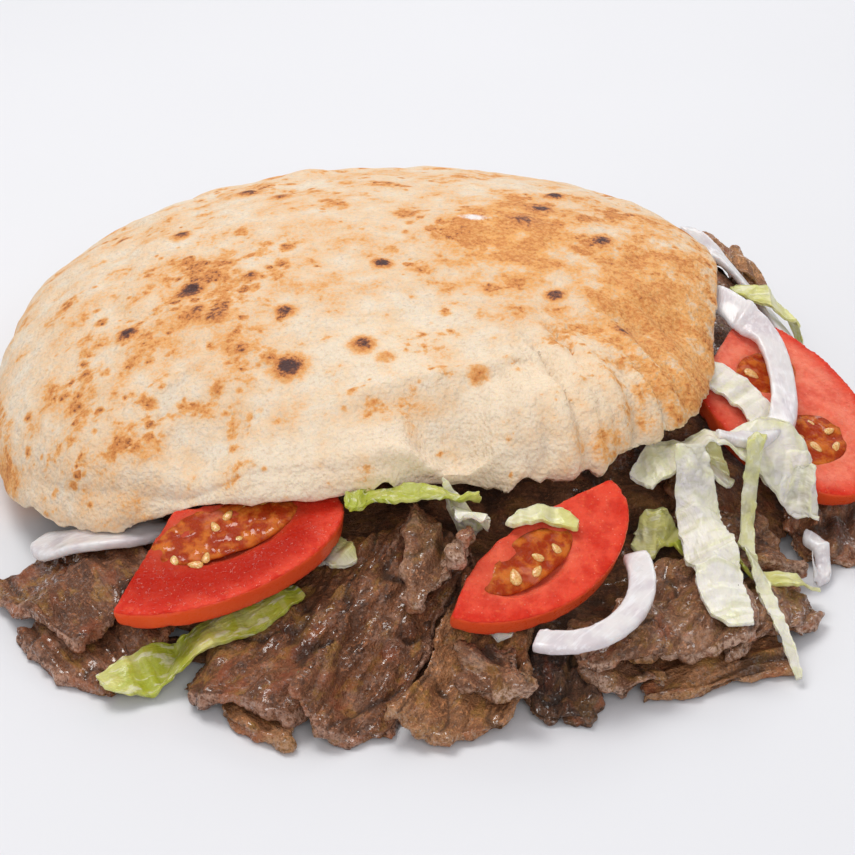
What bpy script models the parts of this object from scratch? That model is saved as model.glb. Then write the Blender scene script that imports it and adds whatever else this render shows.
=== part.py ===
"""Doner kebab sandwich.

A round flatbread is cut open along its front and right side and left closed
at the back and left.  Sliced meat fills the pocket and spills out of the mouth
down to the table, with tomato, onion and lettuce laid on it.

Metres, +Z up, +Y away from the mouth.  The origin is the centre of the flat
underside of the bread, on the table.
"""
import bpy
import bmesh
import numpy as np
from math import ceil, cos, degrees, pi, radians, sin
from mathutils import Matrix, Vector

MM = 0.001

# Bread: a squarish round seen from above, thin walled, domed on top.
BREAD_RIGHT = 95 * MM
BREAD_LEFT = 98 * MM
BREAD_HALF_DEPTH = 94 * MM
BREAD_CROWN = 57 * MM
CROWN_SHIFT = (12 * MM, 5 * MM)    # the crown's highest spot, right and back of the middle
CROWN_FALL = (9 * MM, 5 * MM, 5 * MM)    # how far it falls to the left, right and back
BREAD_WALL = 4.0 * MM
BREAD_ROUNDS = 44              # faces round the bread
BREAD_RINGS = 14               # faces from the crown to the middle of the base
DOME_FULLNESS = 2.35           # 2 is an ellipsoid, more is a flatter crown
SQUARE_FRONT = 2.8             # superellipse exponents of the outline
SQUARE_BACK = 2.2
FLAT_BASE = 0.80               # share of the radius that lies on the table
BASE_SHEET = 0.86              # where the lower sheet ends in the open mouth
LIP_TUCK = 5 * MM              # how far the lip turns under its widest line

# The mouth, by heading round the bread: 0 is right, -90 is the front.
MOUTH_START = -152
MOUTH_END = 42
MOUTH_EASE = 12                # degrees over which it closes
TORN_DEPTH = 0.006             # share of the radius that the torn lip wavers by
TORN_HEIGHT = 0.7 * MM
LIP_HEIGHT = ((-180, 12), (-152, 10), (-135, 12), (-125, 13), (-108, 20), (-90, 26),
              (-76, 31), (-66, 26), (-52, 27), (-37, 32), (-22, 38), (0, 42), (20, 40),
              (42, 33), (90, 18), (180, 12))

# Meat filling: the heap inside the pocket and its slope outside the lip.  The shelf
# is its height where the slices pass under the lip.
HEAP_SHELF = ((-180, 12), (-152, 8), (-135, 7), (-122, 7), (-108, 7.5), (-94, 9),
              (-86, 18), (-77, 18), (-70, 11), (-62, 8), (-54, 11), (-40, 20), (-25, 22),
              (-12, 25), (-2, 30), (20, 30), (42, 22), (180, 12))
HEAP_ROUNDS = 36
HEAP_RINGS = 14
HEAP_CLEAR = 0.8 * MM          # heap above the lower sheet of the bread
HEAP_UNDER_CROWN = 3.5 * MM    # heap below the upper sheet, where the bread is closed
SHEET_REACH = 1.12             # share of the bread's radius where the heap comes down to the table
LUMPS = 0.8 * MM
HEAP_REACH = ((-180, 80), (-140, 76), (-131, 104), (-125, 114), (-112, 126), (-104, 124),
              (-90, 130), (-75, 132), (-60, 134), (-50, 134), (-38, 126), (-20, 128),
              (0, 122), (20, 122), (30, 121), (40, 76), (50, 76), (135, 80), (180, 80))
HEAP_EDGE = ((-180, 13), (-139, 13), (-131, 4), (-60, 3), (-38, 5), (-20, 6), (0, 14),
             (16, 21), (30, 26), (50, 17), (180, 13))

# What is laid on the heap.
GAP = 0.4 * MM                 # clearance between laid pieces
MEAT_THICK = 4.0 * MM
LEAF_THICK = 1.3 * MM
ONION_THICK = 2.6 * MM
ONION_STEPS = 12
TOMATO_THICK = 5.8 * MM
MEAT_SAG = 1.0 * MM            # how far a slice bends between two rows of corners
LEAF_SAG = 1.2 * MM
ONION_SAG = 0.45 * MM


# ---------------------------------------------------------------- collections and finishes

def new_collection(name):
    """An empty collection in the scene."""
    made = bpy.data.collections.new(name)
    bpy.context.scene.collection.children.link(made)
    return made


def finish(name, colour, roughness):
    """A plain food finish."""
    made = bpy.data.materials.new(name)
    made.use_nodes = True
    shader = made.node_tree.nodes["Principled BSDF"]
    shader.inputs["Base Color"].default_value = (*colour, 1)
    shader.inputs["Roughness"].default_value = roughness
    shader.inputs["Metallic"].default_value = 0
    return made


def new_object(name, bm, collection, material=None):
    """An object from a bmesh, which is freed."""
    mesh = bpy.data.meshes.new(name)
    bmesh.ops.recalc_face_normals(bm, faces=bm.faces[:])
    bm.to_mesh(mesh)
    bm.free()
    made = bpy.data.objects.new(name, mesh)
    collection.objects.link(made)
    if material:
        mesh.materials.append(material)
    return made


# ---------------------------------------------------------------- the shape of the bread

def by_heading(angle, stops):
    """A size in metres at a heading in radians, between (degrees, millimetres) stops."""
    headings, sizes = zip(*stops)
    return np.interp(degrees(angle), headings, sizes) * MM


def rim(angle):
    """Radius of the bread's outline at a heading."""
    power = SQUARE_FRONT if sin(angle) < 0 else SQUARE_BACK
    across = abs(cos(angle)) / (BREAD_RIGHT if cos(angle) > 0 else BREAD_LEFT)
    along = abs(sin(angle)) / BREAD_HALF_DEPTH
    return (across ** power + along ** power) ** (-1 / power)


def openness(angle):
    """1 inside the mouth, 0 where the bread is closed, eased between."""
    heading = degrees(angle)
    inside = min(heading - MOUTH_START, MOUTH_END - heading) / MOUTH_EASE
    return min(1, max(0, inside))


def widest_height(angle):
    """Height of the bread's widest line."""
    return by_heading(angle, LIP_HEIGHT) + LIP_TUCK * openness(angle)


def crown_height(x, y):
    """Height of the dome's skin: highest right of the middle, lower to the left and back."""
    side = (x - CROWN_SHIFT[0]) / BREAD_LEFT
    back = (y - CROWN_SHIFT[1]) / BREAD_HALF_DEPTH
    to_left, to_right, to_back = CROWN_FALL
    return BREAD_CROWN - (to_left if side < 0 else to_right) * side ** 2 - to_back * back ** 2


def dome_height(share, angle):
    """Height of the upper skin at a share of the radius."""
    reach = share * rim(angle)
    foot = widest_height(angle)
    crown = crown_height(reach * cos(angle), reach * sin(angle))
    rise = max(0, 1 - share ** DOME_FULLNESS) ** (1 / DOME_FULLNESS)
    return foot + (crown - foot) * rise


# ---------------------------------------------------------------- the pile that grows

class Pile:
    """Height of everything laid so far, in square cells of the table."""

    CELL = 1.0 * MM
    CORNER = np.array([-125, -180]) * MM
    CELLS = (290, 300)

    def __init__(self):
        self.top = np.zeros(self.CELLS)

    def cell(self, points):
        """Cell numbers of points seen from above."""
        found = np.floor((points[..., :2] - self.CORNER) / self.CELL).astype(int)
        i = np.clip(found[..., 0], 1, self.CELLS[0] - 2)
        j = np.clip(found[..., 1], 1, self.CELLS[1] - 2)
        return i, j

    def height(self, points):
        """Highest thing in and next to the cells under the points."""
        i, j = self.cell(points)
        around = [self.top[i + di, j + dj] for di in (-1, 0, 1) for dj in (-1, 0, 1)]
        return np.max(around, axis=0)

    def add(self, corners):
        """Lay triangles, an array (n, 3, 3), on the pile."""
        for share in lattice(corners):
            points = share @ corners
            i, j = self.cell(points)
            np.maximum.at(self.top, (i, j), points[..., 2])

    def room(self, corners):
        """Least height of triangles above the pile, less the gap."""
        spots = [share @ corners for share in lattice(corners)]
        return min((spot[:, 2] - self.height(spot)).min() for spot in spots) - GAP


def lattice(corners):
    """Shares of a triangle's corners at points less than a cell apart."""
    sides = np.linalg.norm(corners - np.roll(corners, 1, axis=1), axis=2)
    steps = max(1, ceil(sides.max() / (0.8 * Pile.CELL)))
    for a in range(steps + 1):
        for b in range(steps + 1 - a):
            yield np.array([a, b, steps - a - b]) / steps


def triangles(bm):
    """Corners of a bmesh's triangles, (n, 3, 3)."""
    return np.array([[loop.vert.co for loop in tri] for tri in bm.calc_loop_triangles()])


def raise_clear(points, faces, below=0.0):
    """Lift the corners of triangles until the surface, less a depth below, clears the pile."""
    for _ in range(40):
        raised = points[:, 2].copy()
        for share in lattice(points[faces]):
            spots = share @ points[faces]
            cut = PILE.height(spots) + GAP + below - spots[:, 2]
            held = cut > 0
            for corner in range(3):
                lifted = points[faces[:, corner], 2] + cut * share[corner] / (share @ share)
                np.maximum.at(raised, faces[held, corner], lifted[held])
        if np.array_equal(raised, points[:, 2]):
            return
        points[:, 2] = raised


def bend_limit(heights, sag):
    """Lowest that each row of a grid of heights can hang, given the rows beside it."""
    lowest = np.full_like(heights, -1.0)
    if len(heights) > 2:
        lowest[1:-1] = (heights[:-2] + heights[2:]) / 2 - sag
        lowest[0] = 2 * heights[1] - heights[2] - 2 * sag
        lowest[-1] = 2 * heights[-2] - heights[-3] - 2 * sag
    return lowest


def let_down(points, faces, rows, sag):
    """Lower a grid's corners until it touches, bent no more between rows than the sag."""
    for _ in range(30):
        slack = np.full(len(points), 1.0)
        for share in lattice(points[faces]):
            spots = share @ points[faces]
            free = spots[:, 2] - PILE.height(spots) - GAP
            for corner in np.flatnonzero(share > 0.02):
                np.minimum.at(slack, faces[:, corner], free / share[corner] / 3)
        grid = points[:, 2].reshape(rows, -1)
        lowest = np.maximum(bend_limit(grid, sag), bend_limit(grid.T, sag).T).ravel()
        points[:, 2] = np.maximum(points[:, 2] - slack, np.minimum(points[:, 2], lowest))


def lay_sheet(bm, rows, sag, lift):
    """Let a flat triangulated grid down on the pile; its vertices are in rows."""
    bm.verts.index_update()
    faces = np.array([[v.index for v in face.verts] for face in bm.faces])
    points = np.array([v.co for v in bm.verts])
    points[:, 2] = PILE.height(points) + GAP
    raise_clear(points, faces)
    let_down(points, faces, rows, sag)
    points[:, 2] += lift
    for vert, point in zip(bm.verts, points):
        vert.co = point


def thicken(bm, thickness):
    """Raise a copy of a laid sheet and close the sides; thickness is by vertex index."""
    bm.verts.index_update()
    floor = bm.verts[:]
    by_place = {(v.co.x, v.co.y): t for v, t in zip(floor, thickness)}
    made = bmesh.ops.extrude_face_region(bm, geom=bm.faces[:])["geom"]
    for vert in made:
        if isinstance(vert, bmesh.types.BMVert):
            vert.co.z += by_place[(vert.co.x, vert.co.y)]


# ---------------------------------------------------------------- laid pieces

def place_sheet(name, segments, plan, thickness, sag, material, lift):
    """A sheet piece: a grid mapped by plan(u, v), laid on the pile and thickened.

    u and v run from -1 to 1 along and across the piece; thickness and lift are
    functions of u and v in metres.
    """
    bm = bmesh.new()
    bmesh.ops.create_grid(bm, x_segments=segments[0], y_segments=segments[1], size=1)
    bmesh.ops.triangulate(bm, faces=bm.faces[:], quad_method="FIXED")
    grid = [(v.co.x, v.co.y) for v in bm.verts]
    for vert, (u, v) in zip(bm.verts, grid):
        vert.co = (*plan(u, v), 0)
    lay_sheet(bm, segments[1] + 1, sag, np.array([lift(u, v) for u, v in grid]))
    thicken(bm, [thickness(u, v) for u, v in grid])
    PILE.add(triangles(bm))
    new_object(name, bm, FOOD, material)


def meat_slice(name, inner, outer, thick=MEAT_THICK, curl=0.0, segments=(7, 4)):
    """A shaved slice between an inner edge, under the lip, and an outer edge.

    inner and outer are pairs of corners in millimetres, left to right.
    """
    noise = np.random.default_rng(sum(map(ord, name)))
    ragged = noise.uniform(-1, 1, (4, 3))
    inner, outer = np.array(inner) * MM, np.array(outer) * MM

    def plan(u, v):
        near = (inner * (1 - u) + outer * (1 + u)) / 2
        point = (near[0] * (1 - v) + near[1] * (1 + v)) / 2
        across = near[1] - near[0]
        onward = (outer - inner).mean(axis=0)
        wave = ragged[0, 0] * sin(5 * u) + ragged[0, 1] * sin(9 * u + 1) + ragged[0, 2] * cos(2 * u)
        tooth = ragged[1, 0] * sin(4 * v) + ragged[1, 1] * sin(8 * v + 2) - 1.2 * v * v
        point = point + across * 0.035 * wave * (0.4 + 0.6 * abs(v))
        return point + onward * 0.045 * tooth * max(0, u)

    def thickness(u, v):
        return thick * (1 - 0.22 * max(abs(u), abs(v)) ** 4 + 0.10 * ragged[2, 0] * sin(4 * u + 3 * v))

    def lift(u, v):
        ripple = 0.5 + 0.5 * sin(3.5 * v + 2.2 * u + 3 * ragged[3, 0])
        return curl * (0.35 * ripple + max(0, v * ragged[3, 1]) ** 3 + 0.4 * max(0, u) ** 4)

    place_sheet(name, segments, plan, thickness, MEAT_SAG, MEAT, lift)


def bend(start, middle, end):
    """Position and sideways direction along a bow through three points in millimetres."""
    start, middle, end = (np.array(p) * MM for p in (start, middle, end))

    def at(u):
        place = middle + u * (end - start) / 2 + u * u * ((start + end) / 2 - middle)
        run = (end - start) / 2 + 2 * u * ((start + end) / 2 - middle)
        run = run / np.linalg.norm(run)
        return place, np.array([-run[1], run[0]])
    return at


def arc(centre, radius, start, end, squash=1.0):
    """Position and outward direction along an arc; radius in millimetres, angles in degrees."""
    centre = np.array(centre) * MM

    def at(u):
        angle = radians((start * (1 - u) + end * (1 + u)) / 2)
        outward = np.array([cos(angle), sin(angle)])
        return centre + radius * MM * outward * np.array([squash, 1]), outward
    return at


def ribbon(name, path, width, thick, material, segments=(11, 1), ruffle=0.0, sag=LEAF_SAG):
    """A strip of even width along a path, laid flat."""
    noise = np.random.default_rng(sum(map(ord, name)))
    phase = noise.uniform(0, 2 * pi, 3)

    def plan(u, v):
        place, sideways = path(u)
        taper = 1 - 0.45 * abs(u) ** 6
        sway = 0.12 * sin(3 * u + phase[0]) + 0.06 * sin(7 * u + phase[1])
        return place + sideways * width * MM / 2 * (v * taper + sway)

    def lift(u, v):
        return ruffle * MM * (0.5 + 0.5 * sin(6 * u + phase[2] + 1.4 * v))

    place_sheet(name, segments, plan, lambda u, v: thick, sag, material, lift)


def onion_ring(name, centre, slope, radii, start, end, width):
    """Part of a stiff oval ring: a flat bow from start to end, in degrees, at a slope."""
    bm = bmesh.new()
    rows = []
    for step in range(ONION_STEPS + 1):
        angle = radians(start + (end - start) * step / ONION_STEPS)
        edges = [((radii[0] + side * width / 2) * MM * cos(angle),
                  (radii[1] + side * width / 2) * MM * sin(angle)) for side in (-1, 1)]
        rows.append([bm.verts.new((*edge, high)) for edge, high in
                     ((edges[0], 0), (edges[1], 0), (edges[1], ONION_THICK), (edges[0], ONION_THICK))])
    for near, far in zip(rows, rows[1:]):
        for side in range(4):
            after = (side + 1) % 4
            bm.faces.new((near[side], near[after], far[after], far[side]))
    bm.faces.new(rows[0][::-1])
    bm.faces.new(rows[-1])
    bmesh.ops.recalc_face_normals(bm, faces=bm.faces[:])
    piece = new_object(name, bm, FOOD, ONION)
    settle(piece, np.array(centre) * MM, slope)


def tomato_slice(name, centre, slope, heading, half_length, half_width, cuts, hollows):
    """A thick slice of an oval tomato with straight sides, hollow where the seeds lie.

    slope is its rise along x and y and heading the way that it is long.  Each cut
    is (heading that the side faces, distance from the centre) and each hollow
    (along, across, half length, half width).
    """
    turn = Matrix.Rotation(radians(heading), 4, "Z")
    bm = bmesh.new()
    bmesh.ops.create_cone(bm, cap_ends=True, segments=32, depth=TOMATO_THICK, radius1=0.96, radius2=1)
    oval = turn @ Matrix.Diagonal((half_length * MM, half_width * MM, 1, 1))
    bmesh.ops.transform(bm, verts=bm.verts[:], matrix=oval)
    for cut_heading, distance in cuts:
        facing = Vector((cos(radians(cut_heading)), sin(radians(cut_heading)), 0))
        sliced = bmesh.ops.bisect_plane(bm, geom=bm.verts[:] + bm.edges[:] + bm.faces[:],
                                        plane_co=facing * distance * MM, plane_no=facing,
                                        clear_outer=True)
        cut_edges = [g for g in sliced["geom_cut"] if isinstance(g, bmesh.types.BMEdge)]
        bmesh.ops.contextual_create(bm, geom=cut_edges)
    piece = new_object(name, bm, FOOD, TOMATO)
    cutters = []
    for number, (along, across, long, wide) in enumerate(hollows, 1):
        cutter_bm = bmesh.new()
        bmesh.ops.create_uvsphere(cutter_bm, u_segments=12, v_segments=6, radius=1)
        spot = Matrix.Translation((along * MM, across * MM, TOMATO_THICK / 2))
        size = Matrix.Diagonal((long * MM, wide * MM, TOMATO_THICK * 0.45, 1))
        bmesh.ops.transform(cutter_bm, verts=cutter_bm.verts[:], matrix=turn @ spot @ size)
        cutter = new_object(f"{name}_hollow_{number}", cutter_bm, CUTTERS)
        cutter.hide_render = True
        cutter.display_type = "WIRE"
        hollow = piece.modifiers.new("hollow", "BOOLEAN")
        hollow.operation = "DIFFERENCE"
        hollow.solver = "EXACT"
        hollow.object = cutter
        cutters.append(cutter)
    settle(piece, np.array(centre) * MM, slope)
    for cutter in cutters:
        cutter.matrix_world = piece.matrix_world.copy()


def settle(piece, centre, slope):
    """Tilt a rigid piece to a slope along x and y and let it down until it touches."""
    bm = bmesh.new()
    bm.from_mesh(piece.data)
    corners = triangles(bm)
    bm.free()
    normal = Vector((-slope[0], -slope[1], 1)).normalized()
    turn = Vector((0, 0, 1)).rotation_difference(normal).to_matrix()
    corners = corners @ np.array(turn).T + np.array([*centre, 0])
    lift = -PILE.room(corners)
    piece.matrix_world = Matrix.Translation((*centre, lift)) @ turn.to_4x4()
    corners[..., 2] += lift
    PILE.add(corners)


# ---------------------------------------------------------------- bread and heap

def bread_point(angle, ring):
    """A point of the bread's outer skin; ring 0 is the crown, BREAD_RINGS the base's middle."""
    middle = BREAD_RINGS // 2
    opened = openness(angle)
    foot = widest_height(angle)
    if ring <= middle:
        up = pi / 2 * (1 - ring / middle)
        share = cos(up) ** (2 / DOME_FULLNESS)
        return share, dome_height(share, angle)
    fold = min(1, (ring - middle) / 3)
    share = FLAT_BASE + (1 - FLAT_BASE) * cos(fold * pi / 2)
    height = foot * (1 - sin(fold * pi / 2))
    if ring == middle + 1:
        share += (0.965 - share) * opened
        height += (foot - LIP_TUCK - height) * opened
    if ring == middle + 2 and opened > 0:
        return BASE_SHEET, 0
    if ring > middle + 3:
        share = FLAT_BASE * (BREAD_RINGS - ring) / (BREAD_RINGS - middle - 3)
    return share, height


def rest_on_filling(bm, upper):
    """Raise the upper half's skin where the filling would come through its wall."""
    bmesh.ops.triangulate(bm, faces=bm.faces[:], quad_method="FIXED")
    bm.normal_update()
    bm.verts.index_update()
    faces = [face for face in bm.faces if upper.issuperset(face.verts)]
    corners = np.array([[v.index for v in face.verts] for face in faces])
    below = np.array([BREAD_WALL / max(face.normal.z, 0.4) if face.normal.z > 0 else 0.0
                      for face in faces])
    points = np.array([v.co for v in bm.verts])
    raise_clear(points, corners, below)
    for vert, point in zip(bm.verts, points):
        vert.co = point


def bread_pocket():
    """The split flatbread: one open skin with a wall, raised over the filling."""
    bm = bmesh.new()
    bmesh.ops.create_uvsphere(bm, u_segments=BREAD_ROUNDS, v_segments=BREAD_RINGS, radius=1)
    middle = BREAD_RINGS // 2
    rings = {}
    for vert in bm.verts:
        latitude = np.arcsin(np.clip(vert.co.z, -1, 1))
        ring = round((pi / 2 - latitude) / pi * BREAD_RINGS)
        angle = np.arctan2(vert.co.y, vert.co.x) if 0 < ring < BREAD_RINGS else 0.0
        rings[vert] = ring
        share, height = bread_point(angle, ring)
        if openness(angle) > 0 and middle <= ring <= middle + 1:
            torn = sin(9 * angle + 1) + 0.6 * sin(23 * angle) + 0.5 * sin(37 * angle + 2)
            share += TORN_DEPTH * torn * openness(angle)
            height += TORN_HEIGHT * torn * (ring - middle) * openness(angle)
        vert.co = (share * rim(angle) * cos(angle), share * rim(angle) * sin(angle), height)
    mouth = [face for face in bm.faces
             if {rings[v] for v in face.verts} == {middle + 1, middle + 2}
             and min(openness(np.arctan2(v.co.y, v.co.x)) for v in face.verts) > 0]
    bmesh.ops.delete(bm, geom=mouth, context="FACES_ONLY")
    rest_on_filling(bm, {v for v in bm.verts if rings[v] <= middle + 1})
    piece = new_object("bread_pocket", bm, FOOD, CRUST)
    wall = piece.modifiers.new("wall", "SOLIDIFY")
    wall.thickness = BREAD_WALL
    wall.offset = -1


def heap_height(share, angle):
    """Top of the heap inside the pocket, at a share of the bread's radius."""
    opened = openness(angle)
    shelf = by_heading(angle, HEAP_SHELF)
    inside = dome_height(min(share, 0.999), angle) - BREAD_WALL - HEAP_UNDER_CROWN
    toward_middle = min(1, max(0, (0.80 - share) / 0.10))
    ease = toward_middle ** 2 * (3 - 2 * toward_middle)
    covered = shelf + (inside - shelf) * ease
    return covered * opened + (inside - 2 * MM * share ** 8) * (1 - opened)


def meat_heap():
    """The meat inside the pocket, one solid, with its slope outside the lip."""
    bm = bmesh.new()
    bmesh.ops.create_uvsphere(bm, u_segments=HEAP_ROUNDS, v_segments=HEAP_RINGS, radius=1)
    for vert in bm.verts:
        latitude = np.arcsin(np.clip(vert.co.z, -1, 1))
        angle = np.arctan2(vert.co.y, vert.co.x) if abs(vert.co.z) < 0.999 else 0.0
        across = 1 - abs(latitude) / (pi / 2)
        reach = across * by_heading(angle, HEAP_REACH)
        share = reach / rim(angle)
        edge = by_heading(angle, HEAP_EDGE)
        outside = (reach - rim(angle)) / max(by_heading(angle, HEAP_REACH) - rim(angle), 1 * MM)
        foot = heap_height(min(share, 1), angle)
        floor = BREAD_WALL + HEAP_CLEAR if share < SHEET_REACH else 0.0
        if share < 1:
            rounded = min(1, max(0, (share - 0.74) / 0.18)) * (1 - openness(angle))
            floor += (edge * 0.75 - floor) * rounded
        if across > 0.999:
            height = max(edge / 2, edge * (1 - openness(angle)))
        elif latitude > 0:
            height = foot + (edge - foot) * min(1, max(0, outside))
            height += LUMPS * sin(7 * angle + 600 * reach)
        else:
            height = floor
        vert.co = (reach * cos(angle), reach * sin(angle), height)
    PILE.add(triangles(bm))
    new_object("meat_heap", bm, FOOD, MEAT)


# ---------------------------------------------------------------- the sandwich

for old in list(bpy.data.objects):
    bpy.data.objects.remove(old, do_unlink=True)

FOOD = new_collection("doner_kebab_sandwich")
CUTTERS = new_collection("cutters")
CRUST = finish("crust", (0.78, 0.60, 0.38), 0.8)
MEAT = finish("meat", (0.16, 0.09, 0.06), 0.45)
TOMATO = finish("tomato", (0.62, 0.05, 0.03), 0.25)
ONION = finish("onion", (0.86, 0.83, 0.78), 0.3)
LETTUCE = finish("lettuce", (0.58, 0.68, 0.30), 0.4)
PILE = Pile()

meat_heap()

# Meat slices, from the table up: inner and outer edge, left to right.
meat_slice("meat_slice_02", [(-64, -92), (-40, -104)], [(-80, -109), (-54, -135)])
meat_slice("meat_slice_01", [(-68, -70), (-42, -86)], [(-91, -88), (-62, -122)], curl=1.5 * MM)
meat_slice("meat_slice_06", [(-28, -126), (-10, -132)], [(-28, -142), (-13, -149)])
meat_slice("meat_slice_03", [(-9, -89), (16, -90)], [(-41, -131), (-14, -147)], thick=4.2 * MM,
           segments=(9, 4))
meat_slice("meat_slice_04", [(15, -87), (29, -95)], [(-13, -147), (9, -149)], segments=(9, 4))
meat_slice("meat_slice_09", [(39, -114), (57, -115)], [(40, -140), (55, -142)])
meat_slice("meat_slice_07", [(27, -106), (44, -112)], [(9, -148), (36, -147)], curl=1 * MM)
meat_slice("meat_slice_08", [(25, -127), (38, -129)], [(25, -137), (41, -143)],
           thick=3 * MM, curl=1.5 * MM)
meat_slice("meat_slice_13", [(66, -112), (100, -96)], [(67, -134), (104, -121)])
meat_slice("meat_slice_16", [(50, -115), (68, -115)], [(52, -131), (73, -135)], curl=1 * MM)
meat_slice("meat_slice_17", [(84, -93), (106, -84)], [(88, -121), (112, -104)])
meat_slice("meat_slice_12", [(84, -74), (101, -68)], [(91, -91), (110, -84)], curl=1 * MM)
meat_slice("meat_slice_11", [(66, -93), (88, -86)], [(56, -136), (94, -121)], curl=1 * MM,
           segments=(9, 5))
meat_slice("meat_slice_14", [(106, -52), (130, -42)], [(108, -76), (134, -76)])
meat_slice("meat_slice_15", [(90, 48), (90, 66)], [(119, 38), (108, 63)])
meat_slice("meat_slice_10", [(76, -58), (90, -52)], [(76, -80), (88, -78)])

# Salad, in the order that it was laid.
ribbon("onion_strip_1", bend((-78, -79), (-62, -87), (-42, -82)), 10, ONION_THICK, ONION, (8, 2),
       sag=ONION_SAG)
ribbon("lettuce_shred_01", bend((-56, -130), (-36, -120), (-12, -107)), 11, LEAF_THICK, LETTUCE,
       (8, 2), 0.8)
ribbon("lettuce_shred_02", bend((-10, -94), (-4, -97), (0, -102)), 7, LEAF_THICK, LETTUCE, (6, 1))
tomato_slice("tomato_slice_1", (-31, -101.5), (0.11, 0.26), 22, 32, 17, [(158, 15), (92, 14)],
             [(4, 1, 15, 6.5)])
ribbon("lettuce_shred_06", bend((32, -111), (34, -118), (35, -125)), 6, LEAF_THICK, LETTUCE, (6, 1))
onion_ring("onion_ring_2", (48.5, -111), (0.03, 0.12), (19, 22), -110, 22, 6.5)
tomato_slice("tomato_slice_2", (41, -106.5), (-0.08, 0.36), 43, 29, 16, [(125, 6), (163, 11)],
             [(-4, -5, 12, 5)])
meat_slice("meat_slice_05", [(14, -97), (29, -100)], [(13, -119), (27, -115)], curl=1.5 * MM)
ribbon("lettuce_shred_03", bend((-1, -96.5), (14, -97.5), (30, -98)), 8, LEAF_THICK, LETTUCE,
       (7, 1), sag=LEAF_SAG / 3)
ribbon("lettuce_shred_04", bend((25, -90), (27, -98), (29, -108)), 8, LEAF_THICK, LETTUCE,
       (8, 2), 0.5)
ribbon("lettuce_shred_05", bend((37, -104), (44, -101), (53, -103)), 4.5, LEAF_THICK, LETTUCE)
ribbon("lettuce_shred_13", bend((85, -50), (88, -62), (89, -76)), 7, LEAF_THICK, LETTUCE,
       (9, 1), 0.5)
ribbon("lettuce_shred_10", bend((90, -94), (100, -95), (111, -92)), 7, LEAF_THICK, LETTUCE, (8, 1))
ribbon("onion_ring_5", arc((108, -79), 7, -65, 70), 4, ONION_THICK, ONION, (8, 2))
tomato_slice("tomato_slice_3", (108, -37), (-0.22, 0.32), -55, 33, 21, [(156, 21)],
             [(-10, 2, 7, 9), (13, -1, 9, 10)])
ribbon("lettuce_shred_07", bend((70, -79), (88, -66), (112, -66)), 12, LEAF_THICK, LETTUCE,
       (8, 2), 0.8)
ribbon("lettuce_shred_11", bend((68, -87), (76, -85), (84, -90)), 8, LEAF_THICK, LETTUCE,
       (9, 2), 0.5)
ribbon("lettuce_shred_15", bend((98, -66), (106, -69), (114, -71)), 5, LEAF_THICK, LETTUCE, (8, 1))
ribbon("onion_ring_4", bend((90, 48), (109, 27), (124, 0)), 6, ONION_THICK, ONION, (10, 2))
ribbon("lettuce_shred_14", bend((102, 22), (112, 19), (122, 24)), 7, LEAF_THICK, LETTUCE,
       (10, 1), 0.5)
ribbon("lettuce_shred_12", bend((85, -34), (97, -41), (107, -54)), 9, LEAF_THICK, LETTUCE,
       (6, 2), 0.5)
ribbon("onion_ring_3", arc((86, -36), 32, -85, 100, 0.72), 7, ONION_THICK, ONION, (14, 2))
ribbon("lettuce_shred_08", bend((80, -76), (85, -98), (89, -121)), 11, LEAF_THICK, LETTUCE,
       (10, 2), 0.5)
ribbon("lettuce_shred_09", bend((100, -64), (95, -90), (103, -125)), 3.5, LEAF_THICK, LETTUCE, (14, 1))

bread_pocket()
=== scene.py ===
import bmesh
import bpy
import numpy as np
from math import atan2, cos, pi, radians, sin
from mathutils import Matrix, Vector


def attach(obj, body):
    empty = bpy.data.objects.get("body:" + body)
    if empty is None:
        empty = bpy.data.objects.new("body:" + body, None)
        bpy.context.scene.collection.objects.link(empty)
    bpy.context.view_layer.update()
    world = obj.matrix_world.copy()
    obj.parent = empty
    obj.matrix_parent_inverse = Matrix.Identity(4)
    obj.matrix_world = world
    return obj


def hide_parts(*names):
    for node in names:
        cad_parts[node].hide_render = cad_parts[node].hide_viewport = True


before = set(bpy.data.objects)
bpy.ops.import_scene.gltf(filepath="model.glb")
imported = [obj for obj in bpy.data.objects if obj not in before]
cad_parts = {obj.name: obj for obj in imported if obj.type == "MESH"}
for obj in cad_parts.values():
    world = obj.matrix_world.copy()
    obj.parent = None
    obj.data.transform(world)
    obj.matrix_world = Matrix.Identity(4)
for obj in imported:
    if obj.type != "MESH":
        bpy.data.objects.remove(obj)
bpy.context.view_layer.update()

MM = 0.001


# ---------------------------------------------------------------- the loose meat in the pocket
# Meat shaved from the spit is packed into the bread as a loose heap.  Only its front
# shows, between the slices and under the lip: dark, moist scraps, their hollows painted
# near black as shade.

def noise(points, size, seed=0):
    """Smooth bumps from -1 to 1 at points, of a size in metres."""
    spots = points / size + 31.7 * (seed + 1)
    cell = np.floor(spots).astype(np.int64)
    ease = spots - cell
    ease = ease * ease * (3 - 2 * ease)
    total = np.zeros(len(points))
    for corner in np.ndindex(2, 2, 2):
        x, y, z = (cell + corner).T
        code = (x * 73856093 ^ y * 19349663 ^ z * 83492791 ^ seed * 2654435761) & 0xFFFFFFFF
        code = (code ^ (code >> 13)) * 1274126177 & 0xFFFFFFFF
        code = (code ^ (code >> 16)) * 2246822519 & 0xFFFFFFFF
        share = np.prod(np.where(corner, ease, 1 - ease), axis=1)
        total += share * ((code >> 8 & 0xFFFF) / 32767.5 - 1)
    return total


def rough(points, size, seed=0, octaves=3):
    """Bumps with finer bumps on them."""
    return sum(noise(points, size / 2 ** n, seed + n) / 2 ** n for n in range(octaves))


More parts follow.
